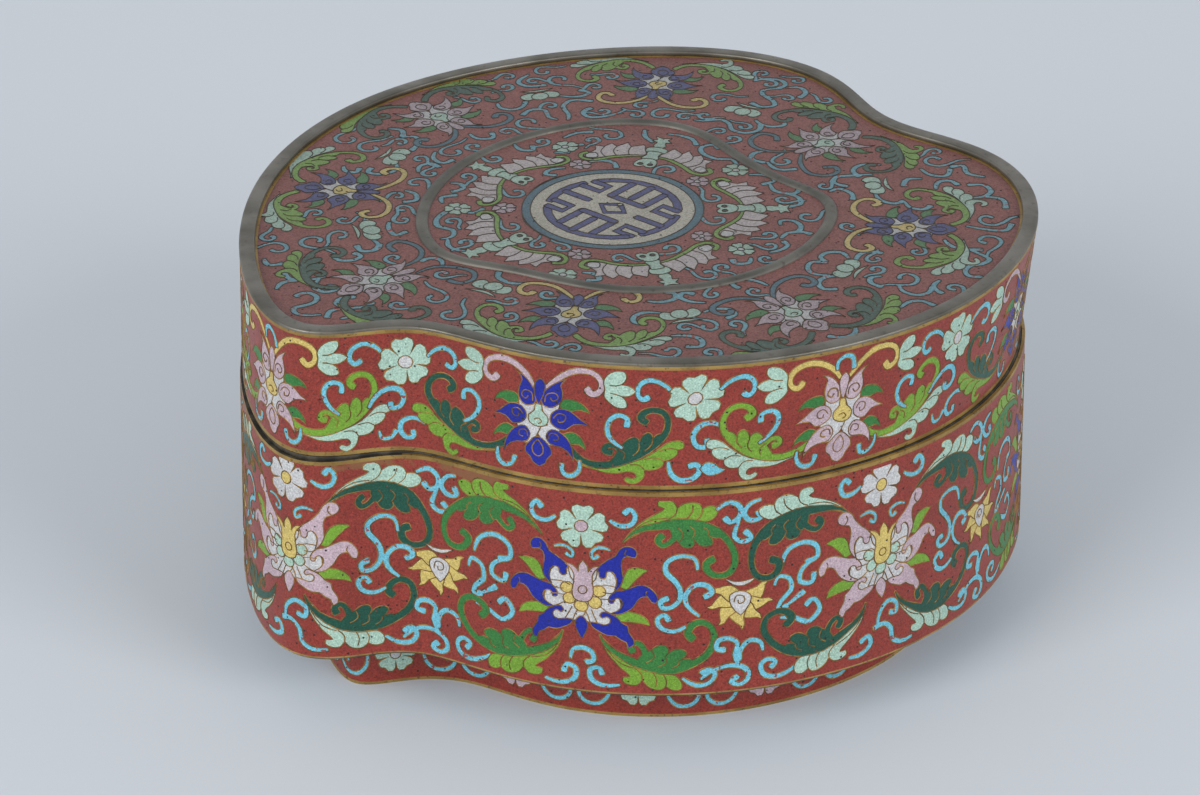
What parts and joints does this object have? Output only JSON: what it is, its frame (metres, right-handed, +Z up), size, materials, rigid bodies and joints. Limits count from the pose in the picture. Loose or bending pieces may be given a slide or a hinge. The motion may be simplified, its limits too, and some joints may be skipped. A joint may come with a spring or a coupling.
{
  "type": "cloisonne enamel box",
  "caption": "Lobed lidded cloisonne enamel box with bronze rims, a sunk lid panel with a moulded centre field, and a low set-in foot ring.",
  "frame": {"origin": "centre of the bounding box in plan, on the plane that the foot ring stands on", "axes": "+Z up through the lid; +X to the right and -Y towards the viewer when the box is seen from its front"},
  "size_m": [0.2434, 0.2264, 0.1285],
  "materials": {
    "enamel": "polished cloisonne enamel, brick red ground with coloured lotus scrolls, small pits and worn spots",
    "bronze": "tarnished bronze, satin, grey-brown with traces of gilding at the edges"
  },
  "bodies": {
    "root": {"foot_ring": "enamel", "base": "enamel", "base_rim": "bronze", "lid": "enamel", "lid_rim": "bronze", "medallion_ridge": "bronze"}
  },
  "joints": []
}
